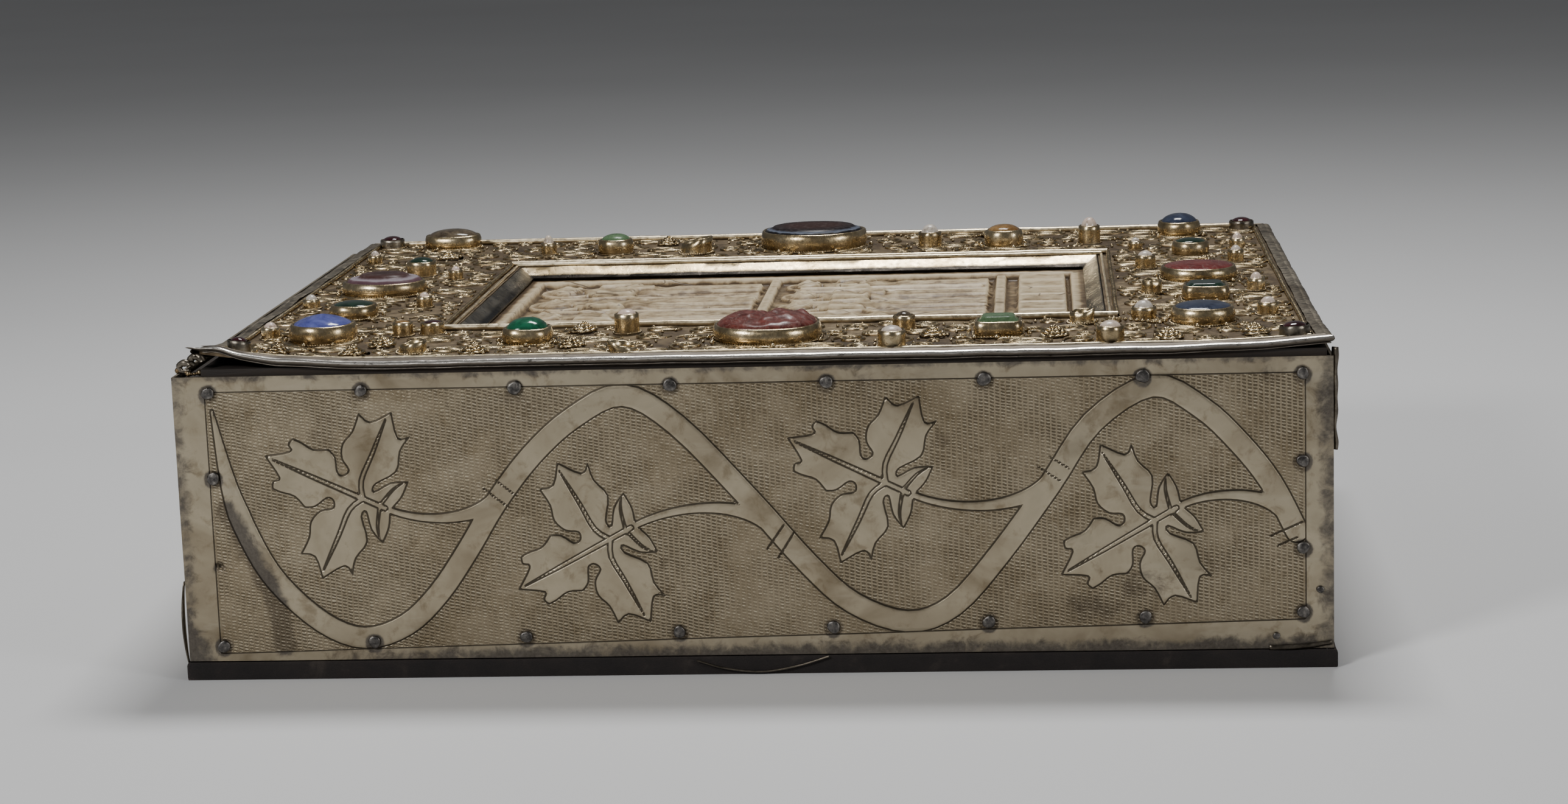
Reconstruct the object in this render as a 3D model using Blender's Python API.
"""Book-shaped reliquary lying on its back: a velvet-covered board, a hollow wooden box
sheathed in engraved silver, and a lid with a jewelled silver-gilt cover round an ivory.

Metres, +Z up. The origin is the bottom centre, +X is right and -Y is the engraved front."""

from math import cos, exp, pi, radians, sin, sqrt

import bmesh
import bpy
from mathutils import Vector

# Clearance kept between pieces that touch
GAP = 0.0003
# Depth by which soldered parts run into the sheet before they are joined
SOLDER = 0.0002

# Box, measured over the silver plates
BOX_WIDTH = 0.316
BOX_DEPTH = 0.244
PLATE_HEIGHT = 0.0804
PLATE_THICKNESS = 0.0008

# Velvet-covered back board
BOARD_HEIGHT = 0.005
BOARD_OVERHANG = 0.001

# Wooden box
WALL = 0.010
FLOOR = 0.006
REBATE = 0.0014

# Lid, which falls short of the box's left side
LID_SHORT_LEFT = 0.0064
FLANGE_THICKNESS = 0.0033
FLANGE_CLEARANCE = 0.0005
PLUG_CLEARANCE = 0.001
POCKET_FLOOR = 0.003

# Silver-gilt cover sheet with its window over the ivory
SHEET_THICKNESS = 0.0008
WINDOW_WIDTH = 0.188
WINDOW_DEPTH = 0.123
WINDOW_SHIFT_X = 0.005
WINDOW_SHIFT_Y = -0.004

# Sloping silver strips inside the window
BEVEL_WIDTH = 0.005
BEVEL_DROP = 0.0030
BEVEL_THICKNESS = 0.0006

# Ivory plaque
IVORY_THICKNESS = 0.007
IVORY_CLEARANCE = 0.0015
IVORY_BORDER = 0.0075
IVORY_SINK = 0.0025
RELIEF_RISE = 0.0030
# The course of blocks at the foot: how many, the part of its place that one fills, and its top
FOOT_BLOCKS = 7
FOOT_BLOCK_SHARE = 0.76
FOOT_TOP = 0.095
FOOT_BASE = 0.01
# Level bars across the picture: where each starts, and how high one is
BARS = (0.12, 0.545)
BAR_HEIGHT = 0.02
HEAD_SHARE = 0.24
HEAD_SIDES = 6
# Rows of figures: where their feet and crowns are up the picture, and how many there are
FIGURE_ROWS = ((0.15, 0.53, 5), (0.575, 0.985, 4))

# Silver moulding round the lid's edge
ROLL_HEIGHT = 0.0026
ROLL_DEPTH = 0.0018
RIM_FLANGE = 0.0028
RIM_FLANGE_THICKNESS = 0.0005

# Corners of the cover that are bent up: how far at the tip, and how far in the bend begins
FRONT_LEFT_LIFT = 0.0045
FRONT_LEFT_REACH = 0.040
FRONT_RIGHT_LIFT = 0.0022
FRONT_RIGHT_REACH = 0.034

# Wires soldered round the window and along the cover's left and right edges
WIRE_WIDTH = 0.0016
WIRE_HEIGHT = 0.0010
WINDOW_WIRE_MARGIN = 0.0004
EDGE_WIRE_INSET = 0.0046
WIRE_END_MARGIN = 0.0200

# Collets: the sheet wall round a stone, and its seat above the cover
COLLET_WALL = 0.0005
COLLET_SEAT = 0.0008
CORNER_INSET = 0.0096

# Coiled filigree cones
CONE_RADIUS = 0.0046
CONE_HEIGHT = 0.0030
CONE_SIDES = 6

# Nails
NAIL_RADIUS = 0.0019
NAIL_HEIGHT = 0.0011
NAIL_INSET_TOP = 0.0045
NAIL_INSET_BOTTOM = 0.0042
NAIL_INSET_LEFT = 0.0100
NAIL_INSET_RIGHT = 0.0082
LONG_SIDE_NAILS = 8
SHORT_SIDE_NAILS = 6
UPRIGHT_NAILS = 2
MISSING_NAIL_SIDE = "front"
NAIL_HOLE_RADIUS = 0.0008

# Engraved field of a side plate, and the vine that winds through it
FIELD_INSET_LEFT = 0.0090
FIELD_INSET_RIGHT = 0.0075
FIELD_INSET_TOP = 0.0043
FIELD_INSET_BOTTOM = 0.0021
FIELD_RISE = 0.0060
VINE_WIDTH = 0.0063
VINE_RELIEF = 0.0003
LEAF_LENGTH = 0.030

# The front vine's middle line, as shares of the engraved field's length and height
FRONT_VINE = (
    (0.006, 0.93), (0.018, 0.64), (0.034, 0.444), (0.058, 0.269), (0.098, 0.109),
    (0.137, 0.044), (0.176, 0.090), (0.208, 0.209), (0.237, 0.374), (0.265, 0.555),
    (0.300, 0.735), (0.340, 0.878), (0.386, 0.960), (0.434, 0.842), (0.498, 0.548),
    (0.550, 0.285), (0.590, 0.124), (0.640, 0.042), (0.682, 0.100), (0.725, 0.303),
    (0.770, 0.565), (0.810, 0.815), (0.864, 0.958), (0.907, 0.869), (0.941, 0.724),
    (0.969, 0.562), (0.992, 0.360),
)
# Each leaf: where its ribs meet, as shares of the field, the way it points in degrees, and
# where its twig joins the vine, as a share of the field's length
FRONT_LEAVES = (
    (0.144, 0.580, 155, 0.275),
    (0.371, 0.406, 208, 0.528),
    (0.625, 0.592, 154, 0.780),
    (0.867, 0.424, 210, 0.986),
)
# The plainer vines of the sides that are seen less
BACK_VINE = (
    (0.01, 0.90), (0.05, 0.30), (0.13, 0.05), (0.21, 0.22), (0.30, 0.76), (0.38, 0.955),
    (0.46, 0.76), (0.55, 0.25), (0.63, 0.05), (0.71, 0.24), (0.80, 0.76), (0.87, 0.955),
    (0.94, 0.76), (0.985, 0.42),
)
BACK_LEAVES = ((0.36, 0.42, 208, 0.505), (0.61, 0.58, 154, 0.755))
END_VINE = (
    (0.015, 0.88), (0.07, 0.30), (0.19, 0.05), (0.31, 0.26), (0.42, 0.76), (0.52, 0.955),
    (0.62, 0.76), (0.73, 0.26), (0.84, 0.05), (0.94, 0.26), (0.985, 0.52),
)
# One half of a leaf's outline from tip to stem, as shares of the leaf's length
HALF_LEAF = (
    (1.00, 0.00), (0.80, 0.135), (0.825, 0.255), (0.61, 0.24), (0.485, 0.297), (0.33, 0.13),
    (0.243, 0.20), (0.385, 0.40), (0.355, 0.72), (0.225, 0.69), (0.085, 0.852), (-0.058, 0.657),
    (-0.155, 0.71), (-0.165, 0.36), (-0.03, 0.17), (-0.30, 0.313), (-0.26, 0.03),
)
# The twig from a leaf to the vine: where it starts behind the leaf and its widths along the
# way, as shares of the leaf's length, and how far its ends run straight, as a share of its own
TWIG_START = 0.20
TWIG_WIDTHS = (0.060, 0.070, 0.085, 0.110, 0.145, 0.190)
TWIG_HANDLE = 0.33

# The large stones. Each has a column and a row of the cover's grid with shares of their half
# widths, the collet's size along X and Y, its height, the stone's rise above it, how square
# its outline is (2 is an ellipse), and the stone's form and colour.
LARGE_STONES = (
    (
        "front_left_sapphire", "left", 0.00, "front", 0.34,
        0.0185, 0.0180, 0.0050, 0.0031, 2.0, "peak", "sapphire",
    ),
    (
        "front_emerald", "west", -0.18, "front", 0.02,
        0.0133, 0.0125, 0.0042, 0.0034, 2.6, "dome", "emerald",
    ),
    (
        "front_carved_jasper", "middle", -0.02, "front", 0.0,
        0.0296, 0.0290, 0.0042, 0.0042, 2.3, "carved", "jasper",
    ),
    ("front_prase", "east", 0.03, "front", -0.06, 0.0128, 0.0115, 0.0042, 0.0015, 5.0, "table", "prase"),
    (
        "front_right_sapphire", "right", -0.10, "front", 0.46,
        0.0172, 0.0168, 0.0045, 0.0017, 2.2, "dome", "sapphire",
    ),
    (
        "right_near_bloodstone", "right", 0.00, "near", 0.29,
        0.0129, 0.0120, 0.0044, 0.0009, 5.0, "table", "bloodstone",
    ),
    (
        "right_carnelian", "right", 0.00, "mid", 0.28,
        0.0225, 0.0220, 0.0040, 0.0015, 2.2, "dome", "carnelian",
    ),
    (
        "right_far_bloodstone", "right", 0.00, "far", 0.86,
        0.0118, 0.0118, 0.0042, 0.0013, 2.0, "dome", "bloodstone",
    ),
    (
        "back_right_sapphire", "right", -0.05, "back", 0.35,
        0.0140, 0.0140, 0.0045, 0.0032, 2.0, "dome", "sapphire",
    ),
    (
        "left_near_bloodstone", "left", 0.00, "near", 0.17,
        0.0137, 0.0125, 0.0040, 0.0013, 2.2, "dome", "bloodstone",
    ),
    ("left_agate", "left", 0.00, "mid", 0.46, 0.0259, 0.0220, 0.0040, 0.0027, 2.0, "tiered", "agate"),
    (
        "left_far_bloodstone", "left", 0.13, "far", 0.34,
        0.0095, 0.0095, 0.0044, 0.0018, 2.4, "dome", "bloodstone",
    ),
    (
        "back_left_smoky_quartz", "left", 0.10, "back", 0.59,
        0.0184, 0.0136, 0.0043, 0.0026, 2.2, "dome", "smoke",
    ),
    ("back_prase", "west", -0.11, "back", -0.08, 0.0116, 0.0114, 0.0046, 0.0022, 2.2, "dome", "prase"),
    ("back_onyx", "middle", 0.00, "back", 0.05, 0.0348, 0.0300, 0.0056, 0.0020, 2.0, "tiered", "agate"),
    (
        "back_citrine", "east", 0.03, "back", -0.21,
        0.0122, 0.0115, 0.0054, 0.0022, 2.2, "dome", "citrine",
    ),
)
# The small stones, each with its column, row, collet width, collet height, rise and colour
SMALL_STONES = (
    ("front_pearl_1", "left", -0.49, "front", 0.60, 0.0058, 0.0030, 0.0020, "pearl"),
    ("front_small_citrine", "left", 0.62, "front", 0.63, 0.0061, 0.0039, 0.0006, "citrine"),
    ("front_small_garnet", "left", 0.86, "front", 0.70, 0.0072, 0.0033, 0.0008, "garnet"),
    ("front_pearl_2", "west", 0.66, "front", 0.54, 0.0074, 0.0052, 0.0018, "pearl"),
    ("front_pearl_3", "east", -0.89, "front", -0.655, 0.0079, 0.0044, 0.0018, "pearl"),
    ("front_rough_stone", "east", -0.82, "front", 0.36, 0.0066, 0.0039, 0.0016, "smoke"),
    ("front_pearl_4", "east", 1.00, "front", -0.655, 0.0079, 0.0044, 0.0020, "pearl"),
    ("front_pearl_5", "right", -0.65, "front", 0.72, 0.0075, 0.0031, 0.0027, "pearl"),
    ("right_pearl_1", "right", 0.54, "front", 0.89, 0.0062, 0.0031, 0.0022, "pearl"),
    ("right_pearl_2", "right", 0.53, "near", 1.05, 0.0056, 0.0032, 0.0025, "pearl"),
    ("right_pearl_3", "right", -0.52, "far", -0.54, 0.0066, 0.0038, 0.0020, "pearl"),
    ("right_pearl_4", "right", 0.45, "far", -0.07, 0.0054, 0.0036, 0.0020, "pearl"),
    ("right_pearl_5", "right", 0.53, "back", -0.74, 0.0054, 0.0031, 0.0022, "pearl"),
    ("right_pearl_6", "right", -0.58, "back", -0.69, 0.0048, 0.0026, 0.0017, "pearl"),
    ("back_pearl_1", "east", 0.93, "back", -0.11, 0.0074, 0.0052, 0.0038, "pearl"),
    ("back_pearl_2", "east", -0.75, "back", -0.15, 0.0080, 0.0044, 0.0036, "pearl"),
    ("back_pearl_3", "west", -0.84, "back", -0.06, 0.0056, 0.0032, 0.0036, "pearl"),
    ("left_pearl_1", "left", -0.50, "mid", -0.85, 0.0056, 0.0025, 0.0020, "pearl"),
    ("left_pearl_2", "left", 0.52, "mid", -0.94, 0.0050, 0.0031, 0.0017, "pearl"),
    ("left_pearl_3", "left", 0.51, "far", -0.20, 0.0048, 0.0029, 0.0017, "pearl"),
    ("left_pearl_4", "left", -0.48, "back", -0.53, 0.0050, 0.0026, 0.0022, "pearl"),
)
# Collets that have lost their stones: column, row, width, height left, and how far they lean
EMPTY_COLLETS = (
    ("left", 0.87, "front", -0.45, 0.0078, 0.0030, 0.14),
    ("west", 0.76, "front", -0.66, 0.0078, 0.0026, -0.20),
    ("east", 0.77, "front", 0.56, 0.0068, 0.0037, 0.10),
    ("right", -0.52, "near", 0.93, 0.0061, 0.0041, 0.0),
    ("west", 0.77, "back", -0.22, 0.0104, 0.0046, 0.18),
)
# Filigree cones between the collets
CONES = (
    ("left", -0.22, "front", -0.52), ("left", 0.40, "front", -0.56), ("left", 0.56, "front", -0.05),
    ("west", -0.58, "front", -0.56), ("west", 0.26, "front", -0.28), ("west", 0.26, "front", 0.62),
    ("east", -0.55, "front", -0.10), ("east", 0.52, "front", -0.20), ("right", -0.46, "front", -0.46),
    ("right", 0.34, "front", -0.30), ("left", -0.30, "near", -0.80), ("left", -0.40, "far", -0.20),
    ("right", 0.00, "near", 1.18), ("right", 0.10, "far", -0.36), ("west", -0.25, "back", 0.62),
    ("east", -0.10, "back", 0.55), ("west", 0.40, "back", 0.45), ("left", 0.20, "back", -0.30),
)
CORNER_GARNET = (0.0087, 0.0027, 0.0016)

# Sides of a round piece for each collet width that it stays below
SIDES_BELOW = ((0.0060, 6), (0.0120, 8), (0.0160, 10), (1.0, 16))
NAIL_SIDES = 6

# Heights that follow from the sizes above
WOOD_BOTTOM = BOARD_HEIGHT + GAP
PLATE_TOP = WOOD_BOTTOM + PLATE_HEIGHT
WALL_TOP = PLATE_TOP - REBATE - GAP
FLANGE_BOTTOM = WALL_TOP + GAP
FLANGE_TOP = FLANGE_BOTTOM + FLANGE_THICKNESS
SHEET_BOTTOM = FLANGE_TOP + GAP
SHEET_TOP = SHEET_BOTTOM + SHEET_THICKNESS
IVORY_TOP = SHEET_TOP - BEVEL_DROP - BEVEL_THICKNESS - GAP
IVORY_BOTTOM = IVORY_TOP - IVORY_THICKNESS
IVORY_GROUND = IVORY_TOP - IVORY_SINK
POCKET_BOTTOM = IVORY_BOTTOM - GAP
PLUG_BOTTOM = POCKET_BOTTOM - POCKET_FLOOR

# Half sizes that follow from the sizes above
HALF_WIDTH = BOX_WIDTH / 2
HALF_DEPTH = BOX_DEPTH / 2
LID_LEFT = LID_SHORT_LEFT - HALF_WIDTH
WOOD_INSET = PLATE_THICKNESS + GAP
LID_INSET = WOOD_INSET + FLANGE_CLEARANCE
RIM_INSET = LID_INSET - GAP - ROLL_DEPTH


def rectangle(left, right, front, back, z):
    """The four corners of a level rectangle."""
    return [Vector((x, y, z)) for x, y in ((left, front), (right, front), (right, back), (left, back))]


def inset_box(inset, z):
    """A level rectangle set in from the box's outline on every side."""
    return rectangle(inset - HALF_WIDTH, HALF_WIDTH - inset, inset - HALF_DEPTH, HALF_DEPTH - inset, z)


def inset_lid(inset, z):
    """A level rectangle set in from the outline of the place that the lid takes."""
    return rectangle(LID_LEFT + inset, HALF_WIDTH - inset, inset - HALF_DEPTH, HALF_DEPTH - inset, z)


def inset_window(inset, z):
    """A level rectangle set in from the window's edge on every side; negative is outside it."""
    half_x = WINDOW_WIDTH / 2 - inset
    half_y = WINDOW_DEPTH / 2 - inset
    return rectangle(
        WINDOW_SHIFT_X - half_x, WINDOW_SHIFT_X + half_x, WINDOW_SHIFT_Y - half_y, WINDOW_SHIFT_Y + half_y, z
    )


def grid_columns():
    """Middle and half width of each column: the two side bands and the window's thirds."""
    left_edge = WINDOW_SHIFT_X - WINDOW_WIDTH / 2
    right_edge = WINDOW_SHIFT_X + WINDOW_WIDTH / 2
    third = WINDOW_WIDTH / 3
    return {
        "left": ((left_edge - HALF_WIDTH) / 2, (left_edge + HALF_WIDTH) / 2),
        "west": (WINDOW_SHIFT_X - third, third / 2),
        "middle": (WINDOW_SHIFT_X, third / 2),
        "east": (WINDOW_SHIFT_X + third, third / 2),
        "right": ((right_edge + HALF_WIDTH) / 2, (HALF_WIDTH - right_edge) / 2),
    }


def grid_rows():
    """Middle and half depth of each row: the two long bands and the window's thirds."""
    front_edge = WINDOW_SHIFT_Y - WINDOW_DEPTH / 2
    back_edge = WINDOW_SHIFT_Y + WINDOW_DEPTH / 2
    third = WINDOW_DEPTH / 3
    return {
        "front": ((front_edge - HALF_DEPTH) / 2, (front_edge + HALF_DEPTH) / 2),
        "near": (WINDOW_SHIFT_Y - third, third / 2),
        "mid": (WINDOW_SHIFT_Y, third / 2),
        "far": (WINDOW_SHIFT_Y + third, third / 2),
        "back": ((back_edge + HALF_DEPTH) / 2, (HALF_DEPTH - back_edge) / 2),
    }


COLUMNS = grid_columns()
ROWS = grid_rows()


def grid_place(column, across, row, along):
    """A place on the cover from its column and row and the shares of their half widths."""
    x_middle, x_half = COLUMNS[column]
    y_middle, y_half = ROWS[row]
    return x_middle + across * x_half, y_middle + along * y_half


def bend(x, y):
    """How far the bent-up front corners of the cover stand above its level."""
    total = 0.0
    left = (LID_LEFT, FRONT_LEFT_LIFT, FRONT_LEFT_REACH)
    right = (HALF_WIDTH, FRONT_RIGHT_LIFT, FRONT_RIGHT_REACH)
    for edge, lift, reach in (left, right):
        inward = x - edge if edge < 0 else edge - x
        from_corner = (inward + HALF_DEPTH + y) / sqrt(2)
        if from_corner < reach:
            total += lift * (1 - from_corner / reach) ** 2
    return total


def smooth_line(points, steps):
    """Points along a smooth curve through the given points."""
    points = [Vector(p) for p in points]
    line = []
    for i in range(len(points) - 1):
        before = points[max(i - 1, 0)]
        start = points[i]
        end = points[i + 1]
        after = points[min(i + 2, len(points) - 1)]
        for k in range(steps):
            t = k / steps
            line.append(
                0.5 * (2 * start + (end - before) * t
                       + (2 * before - 5 * start + 4 * end - after) * t ** 2
                       + (3 * start - before - 3 * end + after) * t ** 3)
            )
    line.append(points[-1])
    return line


def loft(bm, loops):
    """Add a closed body that runs through the loops, with its first and last loop capped."""
    rings = [[bm.verts.new(point) for point in loop] for loop in loops]
    count = len(rings[0])
    for lower, upper in zip(rings, rings[1:]):
        for i in range(count):
            j = (i + 1) % count
            bm.faces.new((lower[i], lower[j], upper[j], upper[i]))
    bm.faces.new(list(reversed(rings[0])))
    bm.faces.new(rings[-1])


def ring_loft(bm, loops):
    """Add a closed ring-shaped body whose section runs through the loops and back."""
    rings = [[bm.verts.new(point) for point in loop] for loop in loops]
    count = len(rings[0])
    for lower, upper in zip(rings, rings[1:] + rings[:1]):
        for i in range(count):
            j = (i + 1) % count
            bm.faces.new((lower[i], lower[j], upper[j], upper[i]))


def prism(bm, outline, low, high):
    """Add a closed body by carrying a flat outline from low to high."""
    loft(bm, [[low(p) for p in outline], [high(p) for p in outline]])


def oval(centre, half_x, half_y, squareness, sides, z):
    """A superellipse: squareness 2 is an ellipse, larger values are squarer."""
    points = []
    for i in range(sides):
        angle = 2 * pi * (i + 0.5) / sides
        c = cos(angle)
        s = sin(angle)
        reach = (abs(c) ** squareness + abs(s) ** squareness) ** (-1 / squareness)
        points.append(Vector((centre[0] + half_x * c * reach, centre[1] + half_y * s * reach, z)))
    return points


def new_object(name, bm, material, smooth_angle=None, place=(0.0, 0.0, 0.0)):
    """Turn a bmesh into a named object at its place, with its own material and outward faces."""
    bmesh.ops.recalc_face_normals(bm, faces=bm.faces)
    bmesh.ops.translate(bm, verts=bm.verts, vec=-Vector(place))
    mesh = bpy.data.meshes.new(name)
    bm.to_mesh(mesh)
    bm.free()
    if smooth_angle is not None:
        mesh.shade_smooth()
        mesh.set_sharp_from_angle(angle=radians(smooth_angle))
    mesh.materials.append(material)
    obj = bpy.data.objects.new(name, mesh)
    obj.location = place
    bpy.context.collection.objects.link(obj)
    return obj


def combine(target, build_tool, operation):
    """Join to the target, or cut from it, the body that build_tool adds to a bmesh."""
    bm = bmesh.new()
    build_tool(bm)
    bmesh.ops.recalc_face_normals(bm, faces=bm.faces)
    mesh = bpy.data.meshes.new("tool")
    bm.to_mesh(mesh)
    bm.free()
    tool = bpy.data.objects.new("tool", mesh)
    bpy.context.collection.objects.link(tool)
    modifier = target.modifiers.new("combine", "BOOLEAN")
    modifier.operation = operation
    modifier.object = tool
    depsgraph = bpy.context.evaluated_depsgraph_get()
    result = bpy.data.meshes.new_from_object(target.evaluated_get(depsgraph))
    target.modifiers.clear()
    old = target.data
    result.materials.clear()
    result.materials.append(old.materials[0])
    target.data = result
    result.name = target.name
    bpy.data.meshes.remove(old)
    bpy.data.objects.remove(tool)
    bpy.data.meshes.remove(mesh)


def flatten_seams(obj):
    """Melt needless edges on flat faces, and triangulate what is left."""
    bm = bmesh.new()
    bm.from_mesh(obj.data)
    bmesh.ops.remove_doubles(bm, verts=bm.verts, dist=1e-6)
    bmesh.ops.dissolve_limit(bm, angle_limit=radians(0.5), verts=bm.verts, edges=bm.edges)
    bmesh.ops.triangulate(bm, faces=bm.faces)
    bm.to_mesh(obj.data)
    bm.free()


def metal(name, colour, roughness):
    """A metal with its own colour."""
    return surface(name, colour, roughness, 1.0)


def surface(name, colour, roughness, metallic=0.0):
    """A plain Principled material."""
    material = bpy.data.materials.new(name)
    material.use_nodes = True
    shader = material.node_tree.nodes["Principled BSDF"]
    shader.inputs["Base Color"].default_value = (*colour, 1.0)
    shader.inputs["Roughness"].default_value = roughness
    shader.inputs["Metallic"].default_value = metallic
    return material


STONE_COLOURS = {
    "sapphire": ((0.10, 0.11, 0.32), 0.12),
    "emerald": ((0.01, 0.14, 0.06), 0.15),
    "prase": ((0.10, 0.20, 0.08), 0.20),
    "bloodstone": ((0.02, 0.05, 0.035), 0.18),
    "jasper": ((0.22, 0.06, 0.05), 0.30),
    "carnelian": ((0.30, 0.03, 0.03), 0.15),
    "agate": ((0.16, 0.12, 0.13), 0.18),
    "smoke": ((0.06, 0.05, 0.05), 0.20),
    "citrine": ((0.30, 0.17, 0.05), 0.20),
    "garnet": ((0.06, 0.005, 0.01), 0.12),
    "pearl": ((0.78, 0.70, 0.62), 0.30),
}


def back_board():
    """The board under the box, covered in dark velvet."""
    bm = bmesh.new()
    loft(bm, [inset_box(-BOARD_OVERHANG, 0.0), inset_box(-BOARD_OVERHANG, BOARD_HEIGHT)])
    return new_object("back_board", bm, surface("dark_velvet", (0.02, 0.012, 0.012), 0.95))


def wooden_box():
    """The hollow oak box: a floor and four walls."""
    bm = bmesh.new()
    outer = WOOD_INSET
    inner = WOOD_INSET + WALL
    loft(bm, [
        inset_box(outer, WOOD_BOTTOM),
        inset_box(outer, WALL_TOP),
        inset_box(inner, WALL_TOP),
        inset_box(inner, WOOD_BOTTOM + FLOOR),
    ])
    return new_object("wooden_box", bm, surface("old_oak", (0.09, 0.05, 0.028), 0.75))


def lid_board():
    """The oak lid: a flange on the walls, a plug between them and a pocket for the ivory."""
    bm = bmesh.new()
    plug = WOOD_INSET + WALL + PLUG_CLEARANCE
    loft(bm, [
        inset_box(plug, PLUG_BOTTOM),
        inset_box(plug, FLANGE_BOTTOM),
        inset_lid(LID_INSET, FLANGE_BOTTOM),
        inset_lid(LID_INSET, FLANGE_TOP),
        inset_window(0.0, FLANGE_TOP),
        inset_window(0.0, POCKET_BOTTOM),
    ])
    return new_object("lid_board", bm, surface("lid_oak", (0.10, 0.055, 0.03), 0.75))


def side_frame(side):
    """A plate's own axes: a point's place from its run along the plate, height and stand-off."""
    if side == "front":
        return lambda run, height, off: Vector((run, -HALF_DEPTH - off, height))
    if side == "back":
        return lambda run, height, off: Vector((-run, HALF_DEPTH + off, height))
    if side == "left":
        return lambda run, height, off: Vector((-HALF_WIDTH - off, -run, height))
    return lambda run, height, off: Vector((HALF_WIDTH + off, run, height))


def half_run(side):
    """Half a plate's length; the short plates fit between the long ones."""
    if side in ("front", "back"):
        return HALF_WIDTH
    return HALF_DEPTH - WOOD_INSET


def field_point(side, along, up):
    """A place in the engraved field from shares of its length and height."""
    half = half_run(side)
    start = FIELD_INSET_LEFT - half
    length = 2 * half - FIELD_INSET_LEFT - FIELD_INSET_RIGHT
    bottom = WOOD_BOTTOM + FIELD_INSET_BOTTOM + FIELD_RISE * along
    top = PLATE_TOP - FIELD_INSET_TOP
    return start + length * along, bottom + (top - bottom) * up


def nail_places(side, count):
    """Run and height of every nail: a row along the top and bottom, and some up the ends."""
    first, last = nail_ends(side)
    top = PLATE_TOP - NAIL_INSET_TOP
    low = WOOD_BOTTOM + NAIL_INSET_BOTTOM
    places = []
    for i in range(count):
        share = i / (count - 1)
        run = first + (last - first) * share
        places += [(run, top), (run, low + FIELD_RISE * share)]
    for k in range(UPRIGHT_NAILS):
        height = low + (top - low) * (k + 1) / (UPRIGHT_NAILS + 1)
        places.append((last, height))
        if side != MISSING_NAIL_SIDE or k > 0:
            places.append((first, height))
    return places


def nail_ends(side):
    """Where the nail rows start and stop along a plate."""
    half = half_run(side)
    return NAIL_INSET_LEFT - half, half - NAIL_INSET_RIGHT


def nail_head(bm, place, run, height):
    """A low nail head."""
    circle(bm, place, run, height, ((-SOLDER, NAIL_RADIUS), (NAIL_HEIGHT, 0.6 * NAIL_RADIUS)))


def circle(bm, place, run, height, rings):
    """A round body on a plate, from its rings' stand-off and radius."""
    loops = []
    for off, radius in rings:
        loop = []
        for i in range(NAIL_SIDES):
            angle = 2 * pi * i / NAIL_SIDES
            loop.append(place(run + radius * cos(angle), height + radius * sin(angle), off))
        loops.append(loop)
    loft(bm, loops)


def ribbon(line, widths):
    """The outline of a band that follows a line, with a width at each point."""
    left = []
    right = []
    for i, point in enumerate(line):
        ahead = line[min(i + 1, len(line) - 1)] - line[max(i - 1, 0)]
        normal = Vector((-ahead[1], ahead[0])).normalized() * (widths[i] / 2)
        left.append(point + normal)
        right.append(point - normal)
    return right + list(reversed(left))


def vine_outline(side, vine):
    """The vine's band through the engraved field."""
    points = [field_point(side, along, up) for along, up in vine]
    line = smooth_line(points, 2)
    widths = [VINE_WIDTH] * len(line)
    widths[0] = VINE_WIDTH * 0.25
    return ribbon(line, widths)


def leaf_to_plate(side, leaf):
    """The change from a leaf's own shares to a place on the plate."""
    along, up, turn, _ = leaf
    run, height = field_point(side, along, up)
    angle = radians(turn)

    def place(u, v):
        return Vector((
            run + LEAF_LENGTH * (u * cos(angle) + v * sin(angle)),
            height + LEAF_LENGTH * (u * sin(angle) - v * cos(angle)),
        ))

    return place


def vine_at(side, vine, share):
    """The vine's middle and its direction at a share of the field's length."""
    for (along, up), (next_along, next_up) in zip(vine, vine[1:]):
        if next_along >= share:
            start = Vector(field_point(side, along, up))
            end = Vector(field_point(side, next_along, next_up))
            return start.lerp(end, (share - along) / (next_along - along)), (end - start).normalized()
    raise ValueError(share)


def leaf_outline(side, leaf):
    """A leaf of three lobes and two leaflets: the half outline and its mirror image."""
    place = leaf_to_plate(side, leaf)
    near_half = [place(u, v) for u, v in HALF_LEAF]
    far_half = [place(u, -v) for u, v in HALF_LEAF[1:]]
    return near_half + list(reversed(far_half))


def twig_outline(side, vine, leaf):
    """The twig that carries a leaf: it leaves the leaf straight and runs into the vine."""
    place = leaf_to_plate(side, leaf)
    joint, ahead = vine_at(side, vine, leaf[3])
    start = place(-TWIG_START, 0.0)
    handle = TWIG_HANDLE * (joint - start).length
    away = (start - place(0.0, 0.0)).normalized()
    controls = (start, start + away * handle, joint - ahead * handle, joint)
    line = []
    for i in range(len(TWIG_WIDTHS)):
        t = i / (len(TWIG_WIDTHS) - 1)
        shares = ((1 - t) ** 3, 3 * t * (1 - t) ** 2, 3 * t * t * (1 - t), t ** 3)
        line.append(sum((point * share for point, share in zip(controls, shares)), Vector((0.0, 0.0))))
    return ribbon(line, [LEAF_LENGTH * width for width in TWIG_WIDTHS])


def add_relief(plate, side, outline):
    """Let a flat outline stand a little proud of the plate."""
    place = side_frame(side)

    def tool(bm):
        prism(bm, outline, lambda p: place(p[0], p[1], -SOLDER), lambda p: place(p[0], p[1], VINE_RELIEF))

    combine(plate, tool, "UNION")


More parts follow.
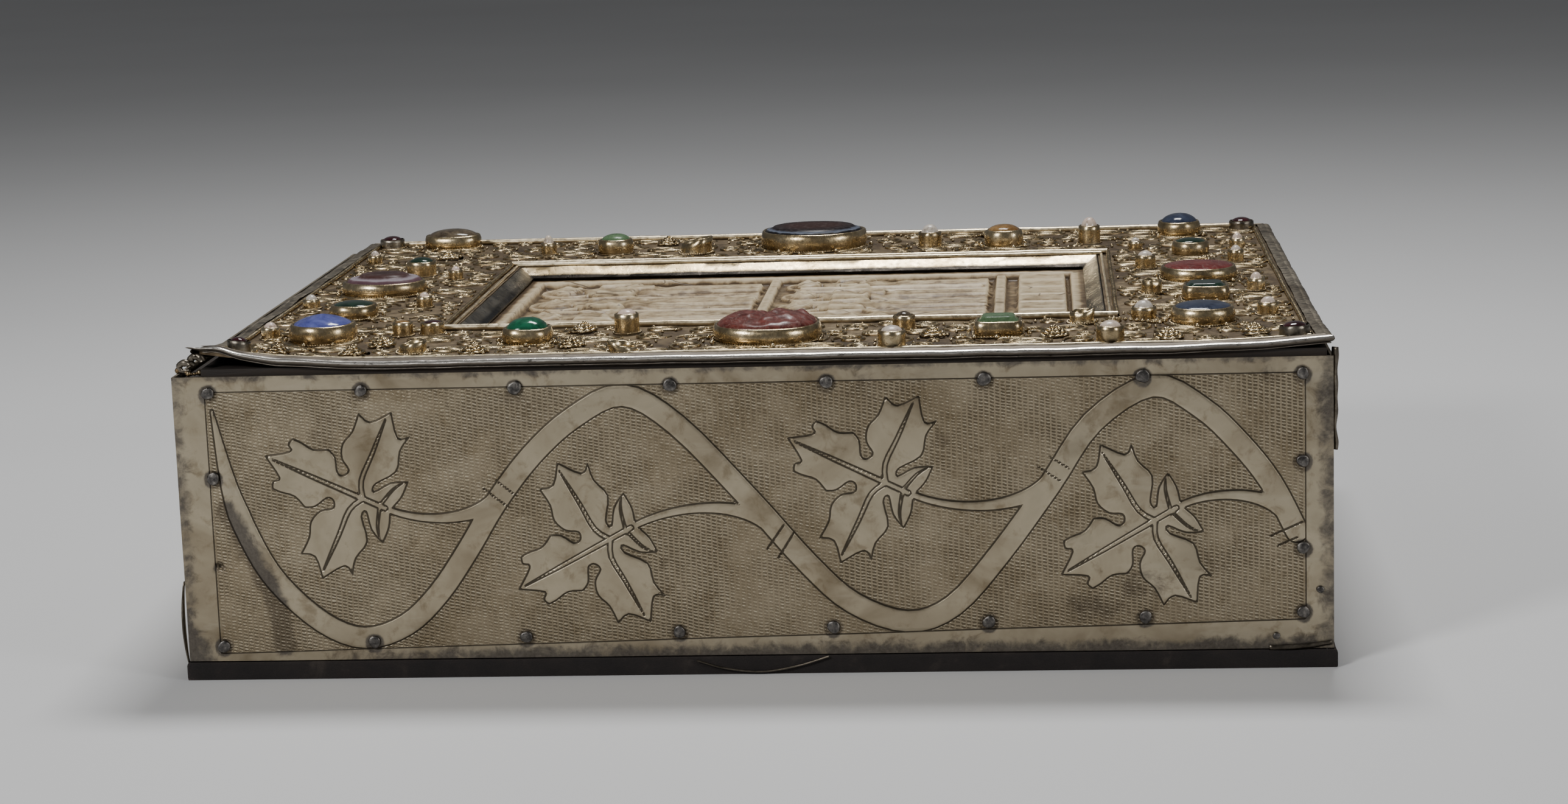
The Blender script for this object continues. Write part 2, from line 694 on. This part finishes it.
def side_plate(side, count, vine, leaves):
    """A silver plate with its vine, leaves and nail heads."""
    place = side_frame(side)
    half = half_run(side)
    outline = ((-half, WOOD_BOTTOM), (half, WOOD_BOTTOM), (half, PLATE_TOP), (-half, PLATE_TOP))
    bm = bmesh.new()
    prism(bm, outline, lambda p: place(p[0], p[1], -PLATE_THICKNESS), lambda p: place(p[0], p[1], 0.0))
    plate = new_object(side + "_plate", bm, metal("silver_" + side, (0.42, 0.38, 0.32), 0.42))
    add_relief(plate, side, vine_outline(side, vine))
    for leaf in leaves:
        add_relief(plate, side, twig_outline(side, vine, leaf))
        add_relief(plate, side, leaf_outline(side, leaf))

    def nails(bm):
        for run, height in nail_places(side, count):
            nail_head(bm, place, run, height)

    combine(plate, nails, "UNION")
    if side == MISSING_NAIL_SIDE:
        combine(plate, nail_hole, "DIFFERENCE")
    flatten_seams(plate)
    return plate


def nail_hole(bm):
    """The hole that a lost nail has left."""
    first, _ = nail_ends(MISSING_NAIL_SIDE)
    low = WOOD_BOTTOM + NAIL_INSET_BOTTOM
    height = low + (PLATE_TOP - NAIL_INSET_TOP - low) / (UPRIGHT_NAILS + 1)
    rings = ((-PLATE_THICKNESS - SOLDER, NAIL_HOLE_RADIUS), (SOLDER, NAIL_HOLE_RADIUS))
    circle(bm, side_frame(MISSING_NAIL_SIDE), first, height, rings)


def rim_profile():
    """Section of the lid's moulding, as distance in from its outer edge and height."""
    top = SHEET_TOP + GAP + RIM_FLANGE_THICKNESS
    low = top - ROLL_HEIGHT
    middle = (top + low) / 2
    half = ROLL_HEIGHT / 2
    points = [(ROLL_DEPTH, low)]
    for i in range(1, 4):
        angle = pi * i / 4
        points.append((ROLL_DEPTH - ROLL_DEPTH * sin(angle), middle - half * cos(angle)))
    points += [
        (ROLL_DEPTH, top),
        (ROLL_DEPTH + RIM_FLANGE, top),
        (ROLL_DEPTH + RIM_FLANGE, SHEET_TOP + GAP),
        (ROLL_DEPTH, SHEET_TOP + GAP),
    ]
    return points


def rim_stations(half):
    """Shares of the way along a rim strip, close together where the corners bend."""
    steps = (0.0, 0.25, 0.5, 0.75, 1.0)
    bent = max(FRONT_LEFT_REACH, FRONT_RIGHT_REACH) * sqrt(2)
    start = [bent * step / (2 * half) for step in steps]
    return start + [1 - share for share in reversed(start)]


def rim_strip(side):
    """One mitred length of silver moulding on the lid's edge."""
    long_side = side in ("front", "back")
    half_width = (HALF_WIDTH - LID_LEFT) / 2
    middle = (HALF_WIDTH + LID_LEFT) / 2 if long_side else 0.0
    half_length = (half_width if long_side else HALF_DEPTH) - RIM_INSET
    edge = {"front": -HALF_DEPTH, "back": HALF_DEPTH, "left": LID_LEFT, "right": HALF_WIDTH}[side]
    sign = 1 if edge > 0 else -1
    bm = bmesh.new()
    loops = []
    for share in rim_stations(half_length):
        loop = []
        for inward, z in rim_profile():
            reach = half_length - inward - GAP / sqrt(2)
            along = middle + reach * (2 * share - 1)
            away = edge - sign * (RIM_INSET + inward)
            x, y = (along, away) if long_side else (away, along)
            loop.append(Vector((x, y, z + bend(x, y))))
        loops.append(loop)
    loft(bm, loops)
    return new_object(side + "_rim", bm, metal("rim_silver_" + side, (0.55, 0.52, 0.48), 0.35), 30)


def wire_section():
    """Section of a flattened half-round wire: distance across it and height over the sheet."""
    shoulder = 0.3 * WIRE_HEIGHT
    crown = (WIRE_WIDTH / 2, WIRE_HEIGHT)
    return (0.0, -SOLDER), (0.0, shoulder), crown, (WIRE_WIDTH, shoulder), (WIRE_WIDTH, -SOLDER)


def window_wire(bm, inset):
    """A wire soldered round the window; a negative inset lies outside its edge."""
    ring_loft(bm, [inset_window(inset - across, SHEET_TOP + rise) for across, rise in wire_section()])


def edge_wire(bm, x):
    """A straight wire soldered along a short edge of the cover, from x inwards."""
    inward = -1 if x > 0 else 1
    reach = HALF_DEPTH - WIRE_END_MARGIN
    loops = []
    for y in (-reach, reach):
        loops.append([Vector((x + inward * across, y, SHEET_TOP + rise)) for across, rise in wire_section()])
    loft(bm, loops)


def sheet_wires(bm):
    """The two wires round the window and the wire along each short edge."""
    first = -WINDOW_WIRE_MARGIN
    window_wire(bm, first)
    window_wire(bm, first - WIRE_WIDTH - WINDOW_WIRE_MARGIN)
    edge_wire(bm, LID_LEFT + EDGE_WIRE_INSET)
    edge_wire(bm, HALF_WIDTH - EDGE_WIRE_INSET)


def collet(bm, centre, half_x, half_y, squareness, height, lean=0.0):
    """A sheet collet, open from its top to its seat."""
    sides = sides_for(2 * half_x)
    steps = ((0.0, -SOLDER), (0.0, height), (-COLLET_WALL, height), (-COLLET_WALL, COLLET_SEAT))
    loops = []
    for out, rise in steps:
        loop = oval(centre, half_x + out, half_y + out, squareness, sides, SHEET_TOP + rise)
        if rise > COLLET_SEAT:
            for point in loop:
                point.z += lean * (point.x - centre[0])
                point.x += 0.5 * lean * rise
        loops.append(loop)
    loft(bm, loops)


def sides_for(width):
    """How many sides a collet and its stone get."""
    for limit, sides in SIDES_BELOW:
        if width < limit:
            return sides
    raise ValueError(width)


def corner_places():
    """The four corners of the cover where the garnets sit."""
    left = LID_LEFT + CORNER_INSET
    right = HALF_WIDTH - CORNER_INSET
    y = HALF_DEPTH - CORNER_INSET
    return (
        ("front_left_corner_garnet", (left, -y)), ("front_right_corner_garnet", (right, -y)),
        ("back_left_corner_garnet", (left, y)), ("back_right_corner_garnet", (right, y)),
    )


def cone(bm, centre):
    """A coiled filigree cone, as its outer shape."""
    shares = ((1.0, -SOLDER), (0.72, 0.45 * CONE_HEIGHT), (0.2, CONE_HEIGHT))
    loops = [oval(centre, CONE_RADIUS * s, CONE_RADIUS * s, 2, CONE_SIDES, SHEET_TOP + z) for s, z in shares]
    loft(bm, loops)


def large_collets(bm):
    """The collets of the large stones."""
    for _, column, across, row, along, size_x, size_y, height, _, square, _, _ in LARGE_STONES:
        centre = grid_place(column, across, row, along)
        collet(bm, centre, size_x / 2, size_y / 2, square, height)


def small_collets(bm):
    """The collets of the small stones, the corner garnets and the lost stones."""
    for _, column, across, row, along, width, height, _, _ in SMALL_STONES:
        centre = grid_place(column, across, row, along)
        collet(bm, centre, width / 2, width / 2, 2, height)
    width, height, _ = CORNER_GARNET
    for _, centre in corner_places():
        collet(bm, centre, width / 2, width / 2, 2, height)
    for column, across, row, along, width, height, lean in EMPTY_COLLETS:
        centre = grid_place(column, across, row, along)
        collet(bm, centre, width / 2, width / 2, 2, height, lean=lean)


def cones(bm):
    """All the filigree cones."""
    for column, across, row, along in CONES:
        cone(bm, grid_place(column, across, row, along))


def cut_for_bend(obj):
    """Give the sheet edges across its front corners, then bend the corners up."""
    bm = bmesh.new()
    bm.from_mesh(obj.data)
    for edge, reach in ((LID_LEFT, FRONT_LEFT_REACH), (HALF_WIDTH, FRONT_RIGHT_REACH)):
        corner = Vector((edge, -HALF_DEPTH, 0.0))
        inward = Vector((-1.0 if edge > 0 else 1.0, 1.0, 0.0)).normalized()
        for share in (0.3, 0.6, 0.98):
            bmesh.ops.bisect_plane(
                bm, geom=bm.verts[:] + bm.edges[:] + bm.faces[:],
                plane_co=corner + inward * reach * share, plane_no=inward,
            )
    for vert in bm.verts:
        vert.co.z += bend(vert.co.x, vert.co.y)
    bmesh.ops.triangulate(bm, faces=bm.faces)
    bm.to_mesh(obj.data)
    bm.free()


def cover_sheet():
    """The silver-gilt sheet with its window, wires, collets and filigree cones."""
    bm = bmesh.new()
    ring_loft(bm, [
        inset_lid(LID_INSET, SHEET_BOTTOM),
        inset_lid(LID_INSET, SHEET_TOP),
        inset_window(0.0, SHEET_TOP),
        inset_window(0.0, SHEET_BOTTOM),
    ])
    sheet = new_object("cover_sheet", bm, metal("silver_gilt", (0.62, 0.44, 0.20), 0.32))
    combine(sheet, sheet_wires, "UNION")
    combine(sheet, large_collets, "UNION")
    combine(sheet, small_collets, "UNION")
    combine(sheet, cones, "UNION")
    flatten_seams(sheet)
    cut_for_bend(sheet)
    return sheet


def window_bevel():
    """The sloping silver strips that lead from the cover down to the ivory."""
    top = SHEET_TOP
    low = SHEET_TOP - BEVEL_DROP
    bm = bmesh.new()
    ring_loft(bm, [
        inset_window(GAP, top - BEVEL_THICKNESS),
        inset_window(GAP, top),
        inset_window(BEVEL_WIDTH, low),
        inset_window(BEVEL_WIDTH, low - BEVEL_THICKNESS),
    ])
    return new_object("window_bevel", bm, metal("bevel_silver", (0.50, 0.47, 0.43), 0.38))


# Each form's steps above its collet: share of the stone's width, and share of its rise
STONE_FORMS = {
    "dome": ((0.80, 0.62), (0.42, 0.93)),
    "peak": ((0.82, 0.34), (0.45, 0.78), (0.06, 1.0)),
    "carved": ((0.86, 0.45), (0.62, 0.85), (0.30, 1.0), (0.08, 0.96)),
    "table": ((0.97, 0.15), (0.80, 1.0)),
    "tiered": ((0.84, 0.45), (0.66, 0.62), (0.60, 1.0)),
}


def carve(point, centre, half_x, rise, floor):
    """Press a valley between the carved stone's two humps."""
    if point.z > floor:
        share = (point.x - centre[0]) / half_x
        point.z -= 0.22 * rise * exp(-(share / 0.22) ** 2)


def stone(name, centre, half_x, half_y, squareness, height, rise, form, colour):
    """A stone that stands on its collet's seat and rises over the collet's wall."""
    sides = sides_for(2 * half_x)
    inner_x = half_x - COLLET_WALL - GAP
    inner_y = half_y - COLLET_WALL - GAP
    wall_top = SHEET_TOP + height
    loops = [
        oval(centre, inner_x, inner_y, squareness, sides, SHEET_TOP + COLLET_SEAT + GAP),
        oval(centre, inner_x, inner_y, squareness, sides, wall_top),
    ]
    for share, up in STONE_FORMS[form]:
        loops.append(oval(centre, inner_x * share, inner_y * share, squareness, sides, wall_top + up * rise))
    for loop in loops:
        for point in loop:
            if form == "carved":
                carve(point, centre, inner_x, rise, wall_top)
            point.z += bend(point.x, point.y)
    bm = bmesh.new()
    loft(bm, loops)
    shade, roughness = STONE_COLOURS[colour]
    place = Vector((centre[0], centre[1], SHEET_TOP))
    return new_object(name, bm, surface(name + "_" + colour, shade, roughness), 40, place)


def large_stones():
    """The large stones, each in its collet."""
    for name, column, across, row, along, size_x, size_y, height, rise, square, form, colour in LARGE_STONES:
        centre = grid_place(column, across, row, along)
        stone(name, centre, size_x / 2, size_y / 2, square, height, rise, form, colour)


def small_stones():
    """The pearls and small stones, and the garnets at the corners."""
    for name, column, across, row, along, width, height, rise, colour in SMALL_STONES:
        centre = grid_place(column, across, row, along)
        stone(name, centre, width / 2, width / 2, 2, height, rise, "dome", colour)
    width, height, rise = CORNER_GARNET
    for name, centre in corner_places():
        stone(name, centre, width / 2, width / 2, 2, height, rise, "dome", "garnet")


def ivory_box(inset, z):
    """A level rectangle set in from the ivory's outline."""
    return inset_window(IVORY_CLEARANCE + inset, z)


def ivory_place(up, across):
    """A place on the ivory: up runs from its foot at the right to its head at the left."""
    half_x = WINDOW_WIDTH / 2 - IVORY_CLEARANCE - IVORY_BORDER
    half_y = WINDOW_DEPTH / 2 - IVORY_CLEARANCE - IVORY_BORDER
    return WINDOW_SHIFT_X + half_x * (1 - 2 * up), WINDOW_SHIFT_Y + half_y * (2 * across - 1)


def low_block(bm, low, high, left, right, rise):
    """A raised block of the relief with sloping sides."""
    x0, y0 = ivory_place(high, left)
    x1, y1 = ivory_place(low, right)
    slope = 0.25 * rise
    loft(bm, [
        rectangle(x0, x1, y0, y1, IVORY_GROUND - SOLDER),
        rectangle(x0 + slope, x1 - slope, y0 + slope, y1 - slope, IVORY_GROUND + rise),
    ])


# A robe's outline from the hem to the shoulders: share of the figure's height, and of its half width
ROBE = (
    (0.0, 0.92), (0.0, -0.92), (0.30, -0.78), (0.62, -0.95), (0.78, -0.62), (0.80, 0.0),
    (0.78, 0.62), (0.62, 0.95), (0.30, 0.78),
)


def robe(bm, foot, tall, middle, width):
    """A standing figure's robe, which narrows to the shoulders."""
    rise = 0.85 * RELIEF_RISE
    waist = 0.40
    loops = []
    for shrink, z in ((1.0, -SOLDER), (1.0, 0.4 * rise), (0.62, rise)):
        loop = []
        for up, side in ROBE:
            near_waist = waist + (up - waist) * (1 + shrink) / 2
            x, y = ivory_place(foot + tall * near_waist, middle + width / 2 * side * shrink)
            loop.append(Vector((x, y, IVORY_GROUND + z)))
        loops.append(loop)
    loft(bm, loops)


def head(bm, foot, tall, middle, width):
    """A plain rounded head, over a robe of the given width."""
    centre = ivory_place(foot + 0.90 * tall, middle)
    chin, _ = ivory_place(foot + 0.81 * tall, middle)
    half_long = abs(chin - centre[0])
    half_wide = HEAD_SHARE * width * (WINDOW_DEPTH - 2 * IVORY_BORDER)
    rings = ((1.0, -SOLDER), (1.0, 0.5 * RELIEF_RISE), (0.55, RELIEF_RISE))
    loft(bm, [oval(centre, half_long * s, half_wide * s, 2, HEAD_SIDES, IVORY_GROUND + z) for s, z in rings])


def relief_blocks(bm):
    """The foot of the picture: a course of blocks with deep joints, and the bars above it."""
    for i in range(FOOT_BLOCKS):
        left = (i + (1 - FOOT_BLOCK_SHARE) / 2) / FOOT_BLOCKS
        right = left + FOOT_BLOCK_SHARE / FOOT_BLOCKS
        low_block(bm, FOOT_BASE, FOOT_TOP, left, right, 0.75 * RELIEF_RISE)
    for start in BARS:
        low_block(bm, start, start + BAR_HEIGHT, 0.0, 1.0, 0.6 * RELIEF_RISE)


def relief_figures(bm, build_one):
    """Both rows of figures, each built by the given function."""
    for foot, crown, count in FIGURE_ROWS:
        for i in range(count):
            build_one(bm, foot, crown - foot, (i + 0.5) / count, 0.78 / count)


def ivory_plaque():
    """The carved ivory: a raised border round two rows of standing figures."""
    bm = bmesh.new()
    loft(bm, [
        ivory_box(0.0, IVORY_BOTTOM),
        ivory_box(0.0, IVORY_TOP),
        ivory_box(IVORY_BORDER - 0.001, IVORY_TOP),
        ivory_box(IVORY_BORDER, IVORY_GROUND),
    ])
    plaque = new_object("ivory_plaque", bm, surface("ivory", (0.62, 0.54, 0.42), 0.45))
    combine(plaque, relief_blocks, "UNION")

    combine(plaque, lambda tool: relief_figures(tool, robe), "UNION")
    combine(plaque, lambda tool: relief_figures(tool, head), "UNION")
    flatten_seams(plaque)
    return plaque


def build():
    """Build every piece where it lies in the whole object."""
    for obj in list(bpy.data.objects):
        bpy.data.objects.remove(obj)
    back_board()
    wooden_box()
    lid_board()
    side_plate("front", LONG_SIDE_NAILS, FRONT_VINE, FRONT_LEAVES)
    side_plate("back", LONG_SIDE_NAILS, BACK_VINE, BACK_LEAVES)
    side_plate("left", SHORT_SIDE_NAILS, END_VINE, ())
    side_plate("right", SHORT_SIDE_NAILS, END_VINE, ())
    cover_sheet()
    for side in ("front", "back", "left", "right"):
        rim_strip(side)
    window_bevel()
    ivory_plaque()
    large_stones()
    small_stones()


build()
